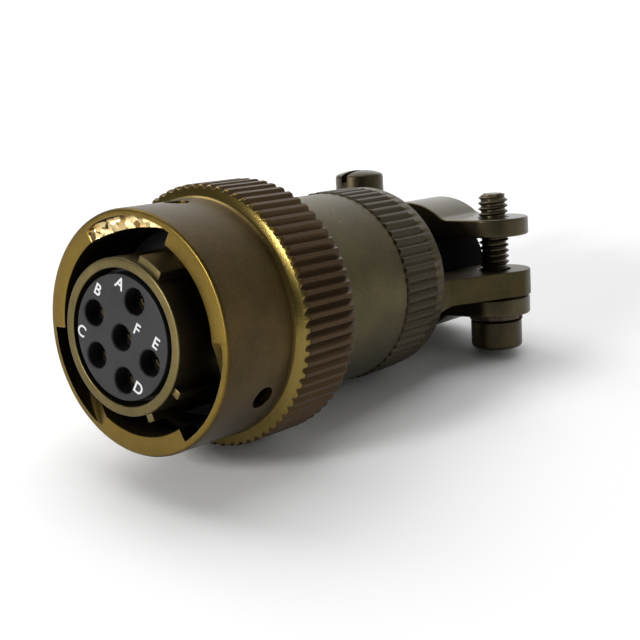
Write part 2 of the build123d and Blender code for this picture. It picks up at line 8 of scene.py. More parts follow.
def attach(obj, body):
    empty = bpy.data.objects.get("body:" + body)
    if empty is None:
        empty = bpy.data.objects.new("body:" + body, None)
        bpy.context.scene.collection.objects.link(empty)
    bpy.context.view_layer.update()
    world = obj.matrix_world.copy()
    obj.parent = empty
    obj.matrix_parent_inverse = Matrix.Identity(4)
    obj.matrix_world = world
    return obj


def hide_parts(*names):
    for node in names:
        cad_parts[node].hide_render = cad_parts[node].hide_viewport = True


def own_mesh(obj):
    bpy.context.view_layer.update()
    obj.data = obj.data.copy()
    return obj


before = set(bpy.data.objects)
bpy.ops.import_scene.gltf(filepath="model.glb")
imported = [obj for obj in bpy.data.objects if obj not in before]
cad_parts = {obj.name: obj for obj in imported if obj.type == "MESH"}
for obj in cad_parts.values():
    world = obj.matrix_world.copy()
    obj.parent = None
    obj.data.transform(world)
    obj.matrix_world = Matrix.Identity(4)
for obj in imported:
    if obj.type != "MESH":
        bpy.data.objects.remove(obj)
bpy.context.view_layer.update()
scene = bpy.context.scene


# Socket insert: a moulded plastic disc with six holes for the contacts. It is pushed into the shell from
# behind until its collar seats, and its front part is a little smaller than the shell's bore.
def lathe(name, outline, steps=240):
    """A mesh turned about the Y axis. outline holds the corners in order, each as radius, station and
    rounding in millimetres. A side of the outline that lies on the axis makes no surface."""
    bm = bmesh.new()
    corners = [bm.verts.new((radius / 1000, station / 1000, 0)) for radius, station, _ in outline]
    bm.faces.new(corners)
    for size in sorted({row[2] for row in outline if row[2]}):
        chosen = [corner for corner, row in zip(corners, outline) if row[2] == size]
        bmesh.ops.bevel(
            bm, geom=chosen, offset=size / 1000, offset_type="OFFSET", segments=3, profile=0.5,
            affect="VERTICES", material=-1,
        )
    bmesh.ops.delete(bm, geom=bm.faces[:], context="FACES_ONLY")
    on_axis = [e for e in bm.edges if all(abs(v.co.x) < 1e-9 for v in e.verts)]
    bmesh.ops.delete(bm, geom=on_axis, context="EDGES")
    bmesh.ops.spin(bm, geom=bm.edges[:], axis=(0, -1, 0), angle=2 * pi, steps=steps, use_merge=True)
    bmesh.ops.remove_doubles(bm, verts=bm.verts[:], dist=1e-7)
    bmesh.ops.recalc_face_normals(bm, faces=bm.faces[:])
    return make_object(name, bm)


def make_object(name, bm):
    mesh = bpy.data.meshes.new(name)
    bm.to_mesh(mesh)
    bm.free()
    made = bpy.data.objects.new(name, mesh)
    scene.collection.objects.link(made)
    return made


def join(name, pieces):
    """One object from the meshes of several, which are removed."""
    bm = bmesh.new()
    for piece in pieces:
        bm.from_mesh(piece.data)
        bpy.data.objects.remove(piece)
    return make_object(name, bm)


def combine(base, cutter, operation="DIFFERENCE"):
    """Applies a boolean to base's mesh and removes the cutter."""
    step = base.modifiers.new("cut", "BOOLEAN")
    step.operation = operation
    step.solver = "EXACT"
    step.use_self = True
    step.object = cutter
    bpy.context.view_layer.update()
    seen = base.evaluated_get(bpy.context.evaluated_depsgraph_get())
    mesh = bpy.data.meshes.new_from_object(seen)
    base.modifiers.clear()
    base.data = mesh
    bpy.data.objects.remove(cutter)


def shade(made, angle=35):
    """Smooth faces, with edges that bend more than angle left sharp."""
    made.data.polygons.foreach_set("use_smooth", [True] * len(made.data.polygons))
    made.data.set_sharp_from_angle(angle=radians(angle))


def place_piece(made, material, body, slot, *nodes):
    """Gives the piece its material, ties it to its CAD body and hides the CAD nodes that it stands for."""
    made.data.materials.clear()
    made.data.materials.append(material)
    even = made.modifiers.new("even", "WEIGHTED_NORMAL")
    even.keep_sharp = True
    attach(made, body)
    if nodes:
        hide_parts(*nodes)


def polar(radius, angle, station=0.0):
    """A point in metres from a radius in millimetres, an angle in degrees and a station."""
    return Vector((radius * cos(radians(angle)), station, radius * sin(radians(angle)))) / 1000


clock = 65.5
insert_face = -1.98
contact_circle = 4.82
contact_turns = {"a": 0.0, "b": 90.0, "c": 150.0, "d": -150.0, "e": -90.0}
contact_places = {name: polar(contact_circle, clock + turn) for name, turn in contact_turns.items()}
contact_places["f"] = Vector((0, 0, 0))

insert = lathe("socket_insert_piece", [
    (0, insert_face, 0), (7.1, insert_face, 0.12), (7.1, 0.02, 0), (7.6, 0.02, 0.1), (7.6, 9, 0),
    (8.15, 9, 0.1), (8.15, 11.6, 0.1), (7.6, 11.6, 0), (7.6, 14, 0.2), (0, 14, 0),
])
holes = []
for name, spot in contact_places.items():
    hole = lathe("hole", [
        (0, -3, 0), (1.62, -3, 0), (1.62, insert_face, 0), (1.5, -1.86, 0), (1.5, 0, 0), (1.32, 0, 0),
        (1.32, 15, 0), (0, 15, 0),
    ], steps=64)
    hole.data.transform(Matrix.Translation(spot))
    holes.append(hole)
combine(insert, join("holes", holes))
shade(insert)


def add_node(tree, kind, settings=None, inputs=None):
    """Adds a node. An input's value is a number, a colour, or another node's output."""
    made = tree.nodes.new(kind)
    for key, value in (settings or {}).items():
        setattr(made, key, value)
    for key, value in (inputs or {}).items():
        if isinstance(value, bpy.types.NodeSocket):
            tree.links.new(value, made.inputs[key])
        else:
            made.inputs[key].default_value = value
    return made


def math_node(tree, operation, first, second):
    inputs = {0: first, 1: second}
    return add_node(tree, "ShaderNodeMath", {"operation": operation}, inputs).outputs[0]


def product(tree, first, *others):
    for other in others:
        first = math_node(tree, "MULTIPLY", first, other)
    return first


def ramp_node(tree, value, low, high):
    """0 below low and 1 above high, with a smooth change between. With high below low it falls instead."""
    inputs = {"Value": value, "From Min": low, "From Max": high}
    settings = {"interpolation_type": "SMOOTHSTEP"}
    return add_node(tree, "ShaderNodeMapRange", settings, inputs).outputs[0]


def mix_node(tree, share, first, second):
    """The colour first where share is 0, and second where it is 1."""
    inputs = {0: share, 6: first, 7: second}
    return add_node(tree, "ShaderNodeMix", {"data_type": "RGBA"}, inputs).outputs[2]


def noise_node(tree, place, scale, detail, roughness):
    inputs = {"Vector": place, "Scale": scale, "Detail": detail, "Roughness": roughness}
    return add_node(tree, "ShaderNodeTexNoise", None, inputs).outputs["Fac"]


def new_group(name, inputs, outputs):
    """A node group with float sockets. inputs gives each one's usual value."""
    tree = bpy.data.node_groups.new(name, "ShaderNodeTree")
    for label, usual in inputs.items():
        socket = tree.interface.new_socket(label, in_out="INPUT", socket_type="NodeSocketFloat")
        socket.default_value = usual
    for label in outputs:
        tree.interface.new_socket(label, in_out="OUTPUT", socket_type="NodeSocketFloat")
    return tree, tree.nodes.new("NodeGroupInput").outputs, tree.nodes.new("NodeGroupOutput").inputs


def group_node(tree, group, inputs=None):
    return add_node(tree, "ShaderNodeGroup", {"node_tree": group}, inputs).outputs


# grain: the fine pits of a blasted and plated surface, on larger ones and on clouds some millimetres
# wide. Height drives a bump, Tone varies the colour.
coarse_share, cloud_scale = 0.22, 160.0
grain, given, result = new_group("grain", {"Scale": 4200.0}, ("Height", "Tone"))
place = add_node(grain, "ShaderNodeTexCoord").outputs["Object"]
fine = noise_node(grain, place, given["Scale"], 3.0, 0.6)
coarse = noise_node(grain, place, product(grain, given["Scale"], coarse_share), 2.0, 0.5)
cloudy = noise_node(grain, place, cloud_scale, 3.0, 0.6)
height = math_node(grain, "ADD", fine, product(grain, coarse, 0.6))
grain.links.new(height, result["Height"])
tone = math_node(grain, "ADD", product(grain, fine, 0.45), product(grain, cloudy, 0.55))
grain.links.new(tone, result["Tone"])

# dust: a few pale specks, each well under half a millimetre wide. One cell in about thirty has one.
dust, given, result = new_group("dust", {"Amount": 1.0}, ("Mask",))
place = add_node(dust, "ShaderNodeTexCoord").outputs["Object"]
cells = add_node(dust, "ShaderNodeTexVoronoi", None, {"Vector": place, "Scale": 900.0})
chance = add_node(dust, "ShaderNodeSeparateColor", None, {"Color": cells.outputs["Color"]}).outputs[0]
speck = ramp_node(dust, cells.outputs["Distance"], 0.12, 0.07)
few = ramp_node(dust, chance, 0.965, 0.975)
dust.links.new(product(dust, speck, few, given["Amount"]), result["Mask"])


def new_material(name, color, metallic, roughness):
    material = bpy.data.materials.new(name)
    material.use_nodes = True
    tree = material.node_tree
    shader = tree.nodes["Principled BSDF"]
    shader.inputs["Base Color"].default_value = (*color, 1)
    shader.inputs["Metallic"].default_value = metallic
    shader.inputs["Roughness"].default_value = roughness
    return material, tree, shader


def pit(tree, shader, height, strength):
    """Gives the surface pits of 0.02 mm."""
    inputs = {"Strength": strength, "Distance": 0.00002, "Height": height}
    tree.links.new(add_node(tree, "ShaderNodeBump", None, inputs).outputs[0], shader.inputs["Normal"])


plastic, tree, shader = new_material("insert_plastic", (0.02, 0.02, 0.021), 0.0, 0.45)
shader.inputs["Specular IOR Level"].default_value = 0.33
surface = group_node(tree, grain, {"Scale": 5200.0})
tone = ramp_node(tree, surface["Tone"], 0.35, 0.7)
speckle = mix_node(tree, tone, (0.0065, 0.0065, 0.007, 1), (0.019, 0.0187, 0.02, 1))
specks = group_node(tree, dust, {"Amount": 0.7})["Mask"]
tree.links.new(mix_node(tree, specks, speckle, (0.3, 0.3, 0.3, 1)), shader.inputs["Base Color"])
pit(tree, shader, surface["Height"], 0.3)
place_piece(insert, plastic, "root", "insert_plastic", "socket_insert")

# Position letters: white ink printed on the insert's face, one beside each hole. All lean the same way,
# because the insert is turned in the shell.
ink = new_material("letter_ink", (0.62, 0.62, 0.62), 0.0, 0.5)[0]
letter_height, letter_tilt, stroke, ink_layer = 0.0019, 25, 0.00003, 0.000004
letter_places = {
    "A": (5.99, 92.2), "B": (6.01, 128.4), "C": (6.43, 184.3), "D": (5.9, -62.8), "E": (5.35, 4.0),
    "F": (2.78, 29.1),
}
for letter, (radius, angle) in letter_places.items():
    curve = bpy.data.curves.new("letter_" + letter, "FONT")
    curve.body = letter
    curve.size = letter_height
    curve.align_x = "CENTER"
    curve.align_y = "CENTER"
    curve.offset = stroke
    curve.extrude = ink_layer
    written = bpy.data.objects.new("text", curve)
    scene.collection.objects.link(written)
    bpy.context.view_layer.update()
    seen = written.evaluated_get(bpy.context.evaluated_depsgraph_get())
    mesh = bpy.data.meshes.new_from_object(seen)
    bpy.data.objects.remove(written)
    mark = bpy.data.objects.new("letter_" + letter, mesh)
    scene.collection.objects.link(mark)
    upright = Matrix.Rotation(radians(90), 4, "X")
    tilt = Matrix.Rotation(radians(letter_tilt), 4, "Y")
    mark.data.transform(Matrix.Translation(polar(radius, angle, insert_face - 0.002)) @ tilt @ upright)
    place_piece(mark, ink, "root", "insert_plastic")


# Socket contacts: gold plated tubes with a slit front, in the insert's holes. Each has a collar behind
# the insert and a cup for the wire, with a window in its side.
def add_box(bm, sizes, centre=(0, 0, 0)):
    """Adds a box, with its sizes and its centre in millimetres."""
    stretched = Matrix.Diagonal((*(size / 1000 for size in sizes), 1))
    moved = Matrix.Translation([part / 1000 for part in centre])
    bmesh.ops.create_cube(bm, size=1.0, matrix=moved @ stretched)


# Painted shade: the contacts' gold is made very dark, standing in for the shade of the deep holes they sit
# in.
gold = new_material("contact_gold", (0.05, 0.036, 0.017), 1.0, 0.45)[0]
first = lathe("contact", [
    (0.8, 0, 0.12), (1.3, 0, 0.08), (1.3, 14, 0), (1.75, 14, 0.05), (1.75, 14.6, 0.05), (1.45, 14.6, 0),
    (1.45, 19.6, 0.08), (1.05, 19.6, 0.05), (1.05, 16.1, 0), (0, 16.1, 0), (0, 8, 0), (0.8, 8, 0),
], steps=64)
bm = bmesh.new()
add_box(bm, (5.2, 10, 0.25))
add_box(bm, (3.2, 3.6, 1.6), (0, 17.85, 1.6))
combine(first, make_object("slit_and_window", bm))
shade(first)
for name, spot in contact_places.items():
    contact = bpy.data.objects.new("contact_" + name + "_piece", first.data.copy())
    scene.collection.objects.link(contact)
    contact.data.transform(Matrix.Translation(spot))
    place_piece(contact, gold, "root", "contact_gold", "contact_" + name)
bpy.data.objects.remove(first)


# Plug shell: an aluminium tube, turned in one piece with its flange and plated olive. The nose has a wide
# main key and two narrow ones, milled to one outer radius. The nut turns on the journal behind the flange.
def vector_node(tree, operation, inputs):
    """The outputs of a vector sum, named Vector and Value."""
    return add_node(tree, "ShaderNodeVectorMath", {"operation": operation}, inputs).outputs


# edge: 1 on the outside edges, where plating is rubbed thin, broken up by a noise.
edge, given, result = new_group("edge", {"Width": 0.00015}, ("Mask",))
place = add_node(edge, "ShaderNodeTexCoord").outputs["Object"]
rounded = add_node(edge, "ShaderNodeBevel", {"samples": 8}, {"Radius": given["Width"]}).outputs[0]
surface = add_node(edge, "ShaderNodeNewGeometry").outputs
along = vector_node(edge, "DOT_PRODUCT", {0: rounded, 1: surface["Normal"]})["Value"]
bend = ramp_node(edge, along, 0.995, 0.86)
outside = ramp_node(edge, surface["Pointiness"], 0.48, 0.53)
rubbed = ramp_node(edge, noise_node(edge, place, 900.0, 3.0, 0.6), 0.3, 0.62)
edge.links.new(product(edge, bend, outside, rubbed), result["Mask"])


def plated(name, dark, light, worn, metallic=0.92, roughness=0.42, bump=0.25, golden=None):
    """Plated metal: dark and light are the colours that the grain mixes, worn is the one of the edges.
    golden, if given, is painted on faces that look along -Y, which are also a little smoother: a painted
    golden sheen of the light from the front."""
    material, tree, shader = new_material(name, dark, metallic, roughness)
    surface = group_node(tree, grain)
    tone = ramp_node(tree, surface["Tone"], 0.3, 0.7)
    colour = mix_node(tree, tone, (*dark, 1), (*light, 1))
    if golden:
        normal = add_node(tree, "ShaderNodeNewGeometry").outputs["Normal"]
        facing = add_node(tree, "ShaderNodeSeparateXYZ", None, {0: normal}).outputs["Y"]
        # Painted sheen: faces that look along -Y get the golden colour, standing in for the light from the
        # front.
        front_sheen = ramp_node(tree, facing, -0.5, -0.85)
        dull = (*(0.75 * part for part in golden), 1)
        bright = (*(1.2 * part for part in golden), 1)
        colour = mix_node(tree, front_sheen, colour, mix_node(tree, tone, dull, bright))
        smoother = math_node(tree, "SUBTRACT", roughness, product(tree, front_sheen, 0.08))
        tree.links.new(smoother, shader.inputs["Roughness"])
    rubbed = group_node(tree, edge)["Mask"]
    colour = mix_node(tree, rubbed, colour, (*worn, 1))
    specks = group_node(tree, dust)["Mask"]
    colour = mix_node(tree, specks, colour, (0.35, 0.33, 0.3, 1))
    tree.links.new(colour, shader.inputs["Base Color"])
    pit(tree, shader, surface["Height"], bump)
    return material


def slab(outline, push):
    """A solid from a flat outline that is pushed through push, both in millimetres."""
    bm = bmesh.new()
    face = bm.faces.new([bm.verts.new(Vector(corner) / 1000) for corner in outline])
    pulled = bmesh.ops.extrude_face_region(bm, geom=[face])["geom"]
    moved = [v for v in pulled if isinstance(v, bmesh.types.BMVert)]
    bmesh.ops.translate(bm, vec=Vector(push) / 1000, verts=moved)
    bmesh.ops.recalc_face_normals(bm, faces=bm.faces[:])
    return bm


rim_olive = plated(
    "rim_plating", (0.05, 0.038, 0.017), (0.075, 0.058, 0.028), (0.34, 0.29, 0.17),
    golden=(0.125, 0.096, 0.036),
)
shell = lathe("plug_shell_piece", [
    (7.72, -2.02, 0.12), (8.86, -2.02, 0.16), (8.86, 8.6, 0), (11.2, 8.6, 0.1), (11.2, 10.2, 0.1),
    (9.45, 10.2, 0), (9.45, 15.05, 0.05), (8.95, 15.05, 0), (8.95, 16.05, 0), (9.3, 16.05, 0.15),
    (9.3, 24.2, 0.2), (8.2, 24.2, 0.1), (8.2, 12.42, 0), (8.6, 12.42, 0), (8.6, 11.62, 0),
    (8.2, 11.62, 0), (8.2, 9, 0), (7.72, 9, 0),
])
key_turns_and_widths = [(0.0, 3.5), (-96.0, 1.0), (-129.0, 1.0)]
key_top, key_foot, key_front, key_length = 9.8, 8.4, -1.57, 9.47
joined = bmesh.new()
joined.from_mesh(shell.data)
for turn, width in key_turns_and_widths:
    half = width / 2
    across = [half * (share / 4 - 1) for share in range(9)]
    outline = [(sqrt(key_top**2 - z**2), key_front, z) for z in across]
    outline += [(key_foot, key_front, half), (key_foot, key_front, -half)]
    bm = slab(outline, (0, key_length, 0))
    bent = [e for e in bm.edges if e.calc_face_angle(0) > radians(35)]
    bmesh.ops.bevel(bm, geom=bent, offset=0.00012, segments=3, profile=0.5, affect="EDGES", material=-1)
    bmesh.ops.rotate(bm, verts=bm.verts[:], matrix=Matrix.Rotation(radians(-clock - turn), 3, "Y"))
    mesh = bpy.data.meshes.new("key")
    bm.to_mesh(mesh)
    bm.free()
    joined.from_mesh(mesh)
joined.to_mesh(shell.data)
joined.free()
shade(shell)
place_piece(shell, rim_olive, "root", "olive_shell", "plug_shell")

# Face seal: a flat moulded ring of black rubber. It lies on the front of the shell's flange, where the
# mating half's barrel presses on it.
rubber, tree, shader = new_material("seal_rubber", (0.004, 0.004, 0.004), 0.0, 0.8)
shader.inputs["Specular IOR Level"].default_value = 0.25
seal = lathe("face_seal_piece", [(8.88, 7.9, 0.1), (10.95, 7.9, 0.1), (10.95, 8.6, 0.1), (8.88, 8.6, 0.1)])
shade(seal)
place_piece(seal, rubber, "root", "seal_rubber", "face_seal")


# Coupling nut: turned aluminium with a knurled rear flange. Three lead-in ramps and bayonet tracks are
# milled into the bore, and each track ends at a round view hole through the wall.
def spun_sector(profile, start, turn, fall, steps):
    """A solid swept from start back by turn degrees about Y, while it moves fall millimetres along Y."""
    bm = bmesh.new()
    face = bm.faces.new([bm.verts.new((r / 1000, y / 1000, 0)) for r, y in profile])
    bmesh.ops.spin(
        bm, geom=[face], axis=(0, 1, 0), angle=radians(turn), steps=steps,
        dvec=(0, fall / steps / 1000, 0),
    )
    bmesh.ops.recalc_face_normals(bm, faces=bm.faces[:])
    bmesh.ops.rotate(bm, verts=bm.verts[:], matrix=Matrix.Rotation(radians(-start), 3, "Y"))
    return bm


def add_pin(bm, radius, length, spot, segments=96):
    """Adds a cylinder along spot's Z, with its sizes in millimetres."""
    bmesh.ops.create_cone(
        bm, cap_ends=True, segments=segments, radius1=radius / 1000, radius2=radius / 1000,
        depth=length / 1000, matrix=spot,
    )


def knurl(made, steps, root, ridge, front, back, tops, leans=None):
    """Presses straight grooves into the faces outside root between the stations front and back. Eight of
    a turned mesh's steps make one ridge. tops gives the radius of those that stand lower than the ridge,
    and leans how far in degrees one is moved to its side."""
    for vertex in made.data.vertices:
        x, y, z = vertex.co
        radius = sqrt(x * x + z * z) * 1000
        if radius < root or not front < y * 1000 < back:
            continue
        around = degrees(Vector((x, z)).angle_signed(Vector((1, 0))))
        part = round(around * steps / 360) % 8
        lean = (leans or {}).get(part, 0)
        vertex.co = polar(min(radius, tops.get(part, ridge)), around + lean, y * 1000)


nut_olive = plated(
    "nut_plating", (0.043, 0.0275, 0.0075), (0.083, 0.054, 0.0165), (0.3, 0.23, 0.12),
    bump=0.45, golden=(0.148, 0.097, 0.018),
)
nut_steps = 72 * 8
nut = lathe("coupling_nut_piece", [
    (11.6, 0, 0.12), (13.75, 0, 0.1), (14, 0.25, 0.1), (14, 10.93, 0.45), (15.1, 11.37, 0),
    (15.18, 11.402, 0), (15.68, 11.64, 0.26), (15.68, 19.91, 0.12), (15.18, 20.26, 0.1),
    (13.3, 20.26, 0.25), (13.3, 15, 0.2), (9.55, 15, 0.1), (9.55, 12.45, 0.1), (11.6, 12.45, 0),
], steps=nut_steps)
nut_tops = {2: 15.6, 3: 15.2, 4: 15.18, 5: 15.2, 6: 15.6}
nut_leans = {1: 0.17, 2: -0.25, 3: 0.44, 5: -0.44, 6: 0.25, 7: -0.17}
knurl(nut, nut_steps, root=15.19, ridge=15.68, front=11.3, back=20.3, tops=nut_tops, leans=nut_leans)
ramp_profile = [(10.6, -7), (13.2, -7), (13.2, -0.6), (13.12, -0.3), (12.9, -0.08), (12.6, 0), (10.6, 0)]
track_profile = [(10.5, 2.46), (13.2, 2.46), (13.2, 5.36), (10.5, 5.36)]
first_ramp, ramp_turn, ramp_fall, track_turn, track_fall = 7, 60, 5.4, 94, 3.44
hole_turn, hole_radius = 153, 1.5
cutters = []
for index in range(3):
    start = first_ramp + 120 * index
    cutters.append(make_object("ramp", spun_sector(ramp_profile, start, ramp_turn, ramp_fall, 72)))
    track = spun_sector(track_profile, start - ramp_turn + 1, track_turn, track_fall, 90)
    cutters.append(make_object("track", track))
    bm = bmesh.new()
    spot = Matrix.Rotation(radians(hole_turn - start), 4, "Y") @ Matrix.Translation((0.0126, 0.00735, 0))
    add_pin(bm, hole_radius, 4, spot @ Matrix.Rotation(radians(90), 4, "Y"), segments=64)
    cutters.append(make_object("view_hole", bm))
combine(nut, join("tracks", cutters))
shade(nut, 30)

# The knurl is painted darker and browner as painted shade of its grooves, and the cone in front of it
# brighter as a painted glint. Painted shade darkens the bore behind the lands, which is also rougher. The
# top ramp has wear from the mating half's pins, smoother and hammered into small facets, and is painted
# much brighter: a painted highlight of the light falling into the top gap.
tree = nut_olive.node_tree
shader = tree.nodes["Principled BSDF"]
place = add_node(tree, "ShaderNodeTexCoord").outputs["Object"]
parts = add_node(tree, "ShaderNodeSeparateXYZ", None, {0: place}).outputs
station, height = parts["Y"], parts["Z"]
flat = add_node(tree, "ShaderNodeCombineXYZ", None, {"X": parts["X"], "Z": height}).outputs[0]
radius = vector_node(tree, "LENGTH", {0: flat})["Value"]
normal = add_node(tree, "ShaderNodeNewGeometry").outputs["Normal"]
facing = add_node(tree, "ShaderNodeSeparateXYZ", None, {0: normal}).outputs["Y"]
to_front = ramp_node(tree, facing, -0.5, -0.7)
colour = shader.inputs["Base Color"].links[0].from_socket
# Painted shade: the knurl gets a darker, browner colour, standing in for the shade in its grooves.
knurl_shade = product(tree, ramp_node(tree, radius, 0.0151, 0.0153), ramp_node(tree, station, 0.0115, 0.0118))
colour = mix_node(tree, product(tree, knurl_shade, 0.8), colour, (0.052, 0.028, 0.0095, 1))
# Painted glint: the cone's front-facing faces get a brighter golden colour.
cone_glint = product(tree, ramp_node(tree, station, 0.0107, 0.0109), to_front)
colour = mix_node(tree, cone_glint, colour, (0.175, 0.125, 0.033, 1))
# Painted shade: the bore behind the lands is painted nearly black, and it is also made rougher.
in_bore = ramp_node(tree, radius, 0.01335, 0.0132)
bore_shade = product(tree, in_bore, ramp_node(tree, station, 0.0006, 0.0022))
colour = mix_node(tree, bore_shade, colour, (0.008, 0.006, 0.004, 1))
behind_face = ramp_node(tree, station, 0.00001, 0.00012)
on_ramp = product(tree, behind_face, ramp_node(tree, station, 0.0062, 0.0052))
on_ramp = product(tree, on_ramp, ramp_node(tree, radius, 0.01325, 0.0132), to_front)
# Painted highlight on the top ramp only, where the light falls in, together with its real pin wear:
# smoother and faceted.
worn_and_lit_ramp = product(tree, on_ramp, ramp_node(tree, height, 0.007, 0.0095))
facets = add_node(tree, "ShaderNodeTexVoronoi", None, {"Vector": place, "Scale": 1500.0}).outputs["Color"]
tone = add_node(tree, "ShaderNodeSeparateColor", None, {"Color": facets}).outputs[0]
tint = mix_node(tree, tone, (0.66, 0.53, 0.27, 1), (0.44, 0.26, 0.085, 1))
tree.links.new(mix_node(tree, worn_and_lit_ramp, colour, tint), shader.inputs["Base Color"])
lean = vector_node(tree, "SUBTRACT", {0: facets, 1: (0.5, 0.5, 0.5)})["Vector"]
lean = vector_node(tree, "SCALE", {0: lean, "Scale": product(tree, worn_and_lit_ramp, 0.7)})["Vector"]
bumped = shader.inputs["Normal"].links[0].from_socket
lean = vector_node(tree, "ADD", {0: bumped, 1: lean})["Vector"]
tree.links.new(vector_node(tree, "NORMALIZE", {0: lean})["Vector"], shader.inputs["Normal"])
rough = shader.inputs["Roughness"].links[0].from_socket
for mask, change in ((bore_shade, 0.25), (cone_glint, -0.1), (worn_and_lit_ramp, -0.18)):
    rough = math_node(tree, "ADD", rough, product(tree, mask, change))
tree.links.new(rough, shader.inputs["Roughness"])
place_piece(nut, nut_olive, "nut", "worn_nut", "coupling_nut")

# Endbell: the smooth back housing, turned from aluminium and blasted before plating. It is screwed on
# the shell's rear and has a threaded neck for the clamp.
olive = plated("olive_plating", (0.05, 0.04, 0.015), (0.088, 0.0715, 0.0295), (0.24, 0.2, 0.115), bump=0.45)
endbell = lathe("endbell_piece", [
    (9.35, 16.9, 0.2), (12.4, 16.9, 0.3), (12.4, 35.5, 0.08), (10.4, 35.5, 0), (10.4, 40.4, 0.4),
    (8.6, 40.4, 0.2), (8.6, 33.6, 0), (10.5, 31.6, 0.3), (10.5, 26.9, 0.3), (7, 26.1, 0.1), (7, 24.5, 0),
    (9.35, 24.5, 0),
])
shade(endbell)
place_piece(endbell, olive, "root", "olive_shell", "endbell")


# Clamp body: a ring with straight grooves for grip and a plain rear rim, screwed on the endbell's neck.
# Two arms leave its rear wall, deepest at the root, and carry the lower saddle. It is cast in aluminium,
# turned and plated.
def soften(made, width, angle=35, segments=2):
    """Rounds the edges that bend more than angle by width, in millimetres."""
    bm = bmesh.new()
    bm.from_mesh(made.data)
    bmesh.ops.remove_doubles(bm, verts=bm.verts[:], dist=1e-6)
    bmesh.ops.dissolve_limit(bm, angle_limit=radians(0.5), verts=bm.verts[:], edges=bm.edges[:])
    bent = [e for e in bm.edges if e.is_manifold and e.calc_face_angle(0) > radians(angle)]
    bmesh.ops.bevel(
        bm, geom=bent, offset=width / 1000, offset_type="OFFSET", segments=segments, profile=0.5,
        affect="EDGES", clamp_overlap=True, material=-1,
    )
    bm.to_mesh(made.data)
    bm.free()


clamp_olive = plated(
    "clamp_plating", (0.036, 0.028, 0.0105), (0.068, 0.053, 0.0215), (0.17, 0.14, 0.08), bump=0.4,
)
tree = clamp_olive.node_tree
shader = tree.nodes["Principled BSDF"]
place = add_node(tree, "ShaderNodeTexCoord").outputs["Object"]
station = add_node(tree, "ShaderNodeSeparateXYZ", None, {0: place}).outputs["Y"]
# Painted shade: the grooved grip of the ring is painted darker, standing in for the shade in its grooves.
knurl_shade = product(tree, ramp_node(tree, station, 0.0427, 0.0422), 0.7)
colour = shader.inputs["Base Color"].links[0].from_socket
colour = mix_node(tree, knurl_shade, colour, (0.034, 0.0235, 0.0095, 1))
tree.links.new(colour, shader.inputs["Base Color"])
clamp_turn = Matrix.Rotation(radians(-7), 4, "Y")
ring_steps = 60 * 8
ring = lathe("clamp_body_piece", [
    (10.45, 35.52, 0.1), (12.45, 35.52, 0), (12.64, 35.7, 0.06), (12.64, 42.2, 0.08), (12.5, 42.5, 0),
    (12.5, 44.4, 0.3), (6.32, 44.4, 0.2), (6.32, 41.9, 0.1), (10.45, 41.9, 0),
], steps=ring_steps)
ring_tops = {2: 12.56, 3: 12.38, 4: 12.3, 5: 12.38, 6: 12.56}
knurl(ring, ring_steps, root=12.42, ridge=12.64, front=35.6, back=42.49, tops=ring_tops)
ring_tops = {3: 12.43, 4: 12.43, 5: 12.43}
knurl(ring, ring_steps, root=12.42, ridge=12.64, front=35.5, back=35.6, tops=ring_tops)
screw_x, screw_y, screw_hole = 11.54, 59.03, 2.3
arm_top, arm_depth, arm_end, root_depth, slope_end, slope = -0.35, 3.6, 5, 0.6, 49.4, 5
for side in (1, -1):
    plan = [(6.54, 43.15), (11.36, 43.15), (11.36, 47.6)]
    ends = [radians(a) for a in range(-10, 181, 10)]
    plan += [(screw_x + arm_end * cos(a), screw_y + arm_end * sin(a)) for a in ends]
    bm = slab([(x * side, y, arm_top) for x, y in plan], (0, 0, -arm_depth))
    for cut in (44.4, 46.0, 47.7, slope_end):
        whole = bm.verts[:] + bm.edges[:] + bm.faces[:]
        bmesh.ops.bisect_plane(bm, geom=whole, plane_co=(0, cut / 1000, 0), plane_no=(0, 1, 0))
    for vertex in bm.verts:
        if vertex.co.z < -0.002:
            share = min(1, max(0, (slope_end - vertex.co.y * 1000) / slope))
            vertex.co.z -= root_depth / 1000 * share * share
    arm = make_object("arm", bm)
    bm = bmesh.new()
    add_pin(bm, screw_hole, 10, Matrix.Translation(Vector((screw_x * side, screw_y, -2)) / 1000))
    combine(arm, make_object("hole", bm))
    soften(arm, 0.3, segments=3)
    combine(ring, arm, "UNION")
ring.data.transform(clamp_turn)
shade(ring, 50)
place_piece(ring, clamp_olive, "root", "olive_shell", "clamp_body")


# Saddles: two bars with an ear at each end and an arch over the bushing, cast in aluminium and plated.
# The upper one arches up, and the lower one lies under the arms and is its copy, turned over.
def arc(x, z, radius, first, last, count):
    """Points on an arc, in millimetres, between two angles in degrees."""
    angles = [radians(first + (last - first) * k / count) for k in range(count + 1)]
    return [(x + radius * cos(a), z + radius * sin(a)) for a in angles]


